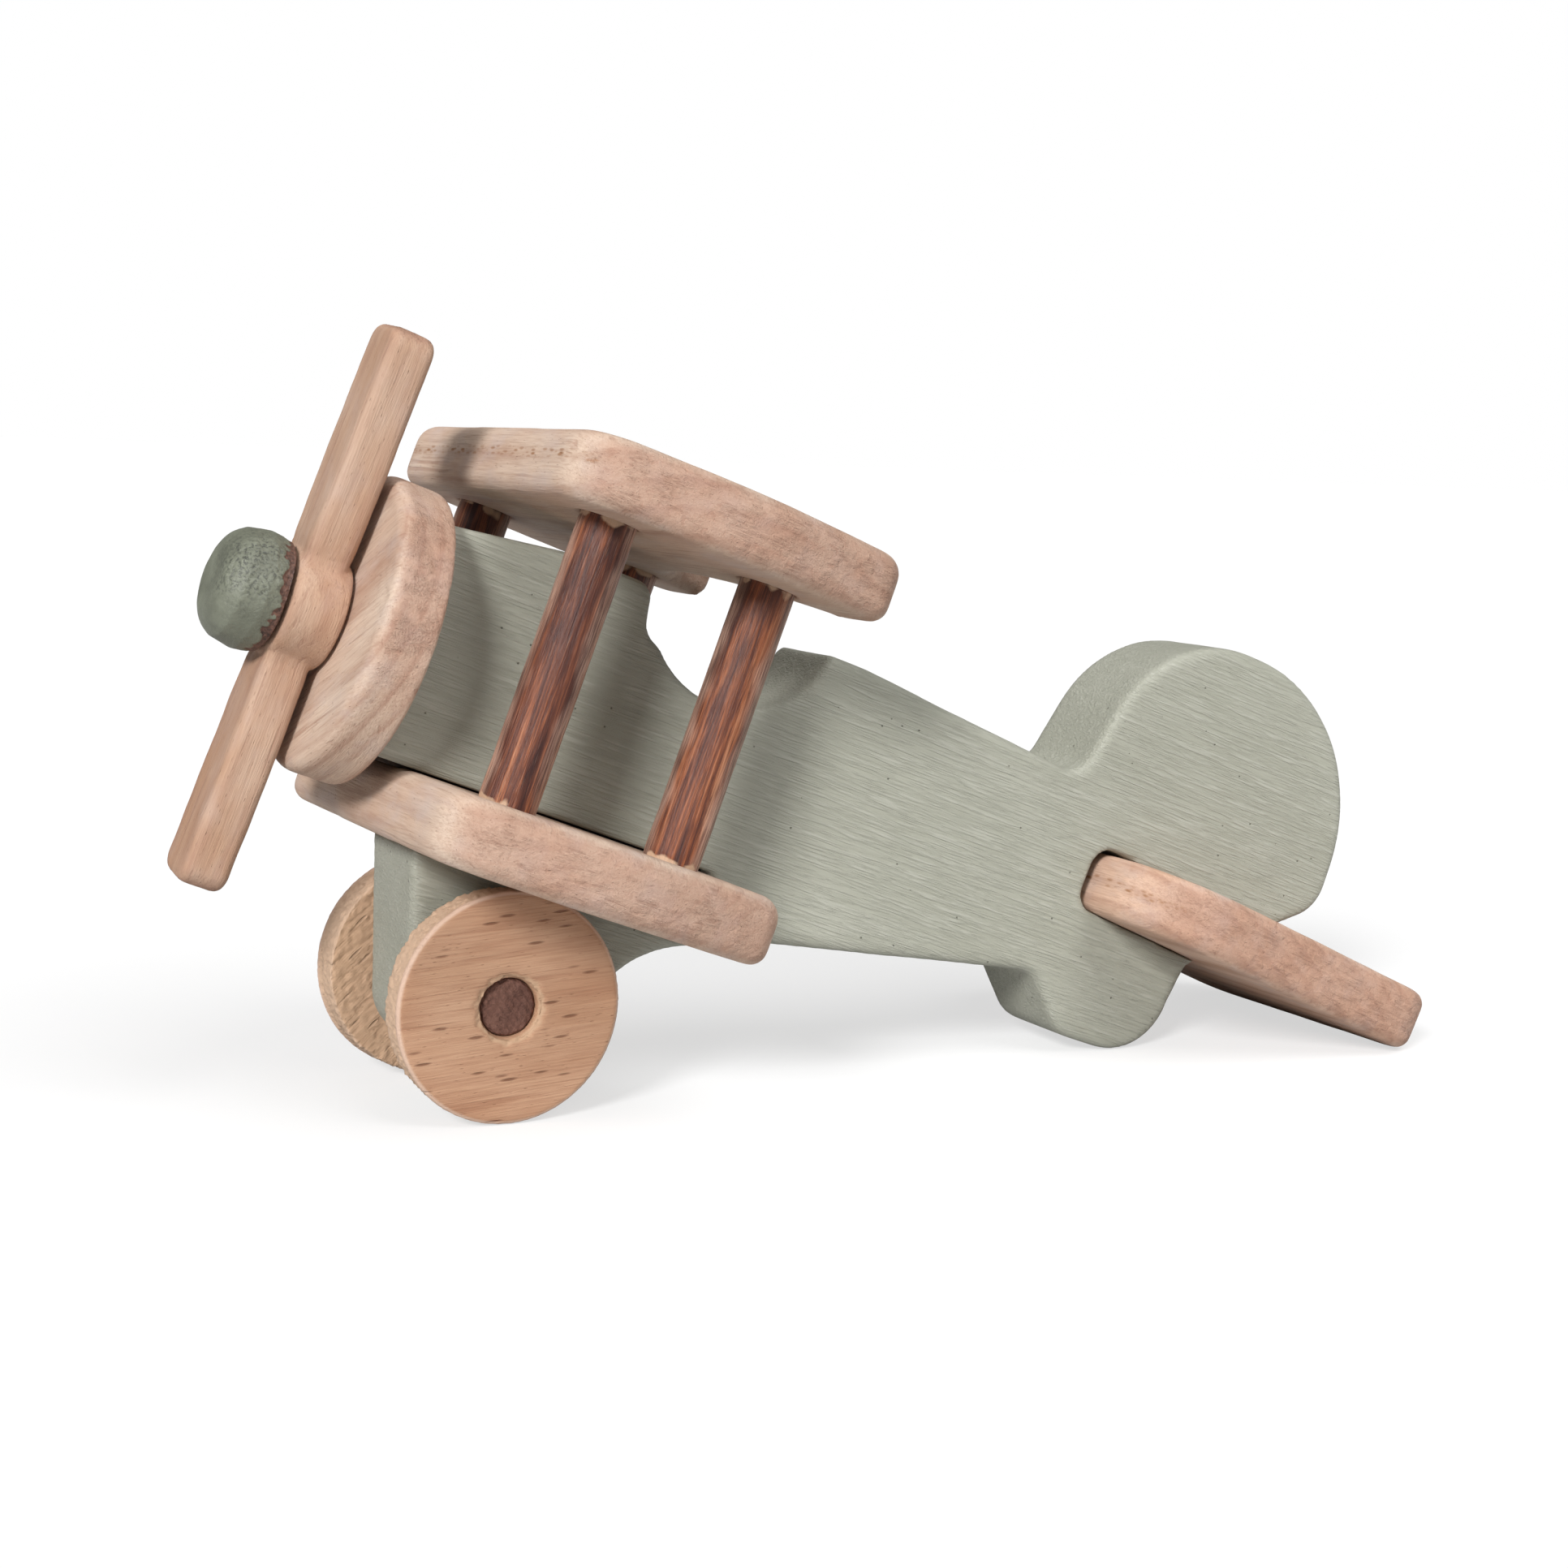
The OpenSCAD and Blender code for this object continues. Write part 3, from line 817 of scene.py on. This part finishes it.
# a near-black block fills the lower wing's slot
slot_fill = make_slot_fill()
set_down(slot_fill, slot_fill_brown(), STAND)
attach(slot_fill, "airframe")
fit(make_wing("lower_wing", DOWN, top_radius=4.0, bottom_radius=3.0), "lower_wing",
    board_wood("lower_wing_beech", heart=(-30, 0, 70), ring=3.4, figure=0.3, streak=0.25,
               end_size=(4.0, 0.5, 0.5)))
fit(make_wing("upper_wing", UP, top_radius=4.0, bottom_radius=3.0), "upper_wing",
    board_wood("upper_wing_beech", heart=(10, 0, 20), ring=4.6, end_size=(7.0, 0.5, 0.42),
               lines=["streak"]))
fit(make_tailplane(), "tailplane",
    board_wood("tailplane_beech", TAIL_LAY, heart=(90, 0, -60), ring=3.6,
               warm=(0.58, 0.37, 0.26), pale=(0.66, 0.46, 0.35), end_size=(6.0, 0.5, 0.45),
               lines=["streak"]), TAIL_LAY)
disc_lay = STAND @ Matrix.Translation(HUB_MID) @ Matrix.Rotation(DISC_TURN, 4, "X")
fit(make_nose_disc(), "nose_disc",
    board_wood("nose_disc_beech", disc_lay, heart=(-48, 0, 6), ring=3.2))
fit(make_propeller(), "propeller",
    board_wood("propeller_beech", PROP_LAY, along=2, pale=(0.53, 0.365, 0.265),
               warm=(0.44, 0.26, 0.165), heart=(22, 14, 0), ring=3.6, figure=0.35, bleach=0.2),
    PROP_LAY)
fit(make_spinner(), "spinner", cap_paint())
for number, strut in enumerate(STRUTS):
    fit(make_strut(strut), strut, strut_wood(strut + "_stain", number))
for number, (wheel, turn) in enumerate((("wheel_port", -24), ("wheel_starboard", -62)), start=1):
    fit(make_wheel(wheel), wheel, wheel_wood(wheel, math.radians(turn), number))
fit(make_axle(), "axle",
    board_wood("axle_end", pale=(0.34, 0.175, 0.125), warm=(0.27, 0.13, 0.095), dark=(0.09, 0.04, 0.03),
               heart=(20, 0, 30), ring=1.1, bleach=0.0))
NODES["spinner_dowel"].data.materials.clear()
NODES["spinner_dowel"].data.materials.append(
    board_wood("dowel_beech", along=0, heart=(0, 10, 40), ring=2.0, end_mark=None))

# ---- Floor, light and camera ---------------------------------------------------------------------
FLOOR_SIZE = 60
FLOOR_GREY, SKY_STRENGTH = 0.55, 0.21
clear_bench()
bpy.ops.mesh.primitive_plane_add(size=FLOOR_SIZE, location=(0, 0, 0))
floor = added("floor")


def seen_white(shader_tree, lit, out, glow, brightness):
    """Makes the backdrop look white, though it lights the toy only softly: what the camera sees
    has the share glow of plain white of that brightness in it."""
    eye = shader_tree.nodes.new("ShaderNodeLightPath").outputs["Is Camera Ray"]
    blend = shader_tree.nodes.new("ShaderNodeMixShader")
    white = shader_tree.nodes.new("ShaderNodeEmission")
    white.inputs["Strength"].default_value = brightness
    share = shader_tree.nodes.new("ShaderNodeMath")
    share.operation = "MULTIPLY"
    share.inputs[1].default_value = glow
    shader_tree.links.new(eye, share.inputs[0])
    shader_tree.links.new(share.outputs[0], blend.inputs[0])
    shader_tree.links.new(lit, blend.inputs[1])
    shader_tree.links.new(white.outputs[0], blend.inputs[2])
    shader_tree.links.new(blend.outputs[0], out)


floor_white = bpy.data.materials.new("floor_white")
floor_white.use_nodes = True
floor_tree = floor_white.node_tree
floor_shader = floor_tree.nodes["Principled BSDF"]
floor_shader.inputs["Base Color"].default_value = (FLOOR_GREY, FLOOR_GREY, FLOOR_GREY, 1)
floor_shader.inputs["Roughness"].default_value = 0.9
seen_white(floor_tree, floor_shader.outputs[0], floor_tree.nodes["Material Output"].inputs[0],
           glow=0.35, brightness=1.8)
floor.data.materials.append(floor_white)

world = bpy.data.worlds.new("studio")
world.use_nodes = True
sky = world.node_tree.nodes["Background"]
sky.inputs["Color"].default_value = (1, 1, 1, 1)
sky.inputs["Strength"].default_value = SKY_STRENGTH
seen_white(world.node_tree, sky.outputs[0], world.node_tree.nodes["World Output"].inputs[0],
           glow=1.0, brightness=1.0)
bpy.context.scene.world = world
bpy.context.scene.view_settings.view_transform = "Standard"


def sky_light(name, way, spread, strength):
    """Soft light from that way. spread is how wide its source looks, in degrees."""
    light = bpy.data.lights.new(name, "SUN")
    light.angle = math.radians(spread)
    light.energy = strength
    holder = bpy.data.objects.new(name, light)
    bpy.context.scene.collection.objects.link(holder)
    holder.location = middle_of(*cad_box) + Vector(way)
    holder.rotation_euler = Vector(way).to_track_quat("Z", "Y").to_euler()


sky_light("window", way=(-0.68, -0.62, 0.50), spread=14, strength=3.1)
sky_light("ceiling", way=(0.25, -0.60, 0.90), spread=40, strength=1.7)

CAMERA_AT = AXLE_MID + Vector((-0.1538, -0.4086, 0.0932))
CAMERA_WAY = Vector((0.4626, 0.8772, -0.1286))
CAMERA_ROLL = math.radians(2.1)
SENSOR, FOCAL_LENGTH = 36, 58.0
lens = bpy.data.cameras.new("camera")
lens.sensor_width = SENSOR
lens.lens = FOCAL_LENGTH
lens.clip_start = 0.01
camera = bpy.data.objects.new("camera", lens)
bpy.context.scene.collection.objects.link(camera)
camera.location = CAMERA_AT
camera.rotation_euler = (CAMERA_WAY.to_track_quat("-Z", "Y") @ Matrix.Rotation(
    CAMERA_ROLL, 3, "Z").to_quaternion()).to_euler()
bpy.context.scene.camera = camera
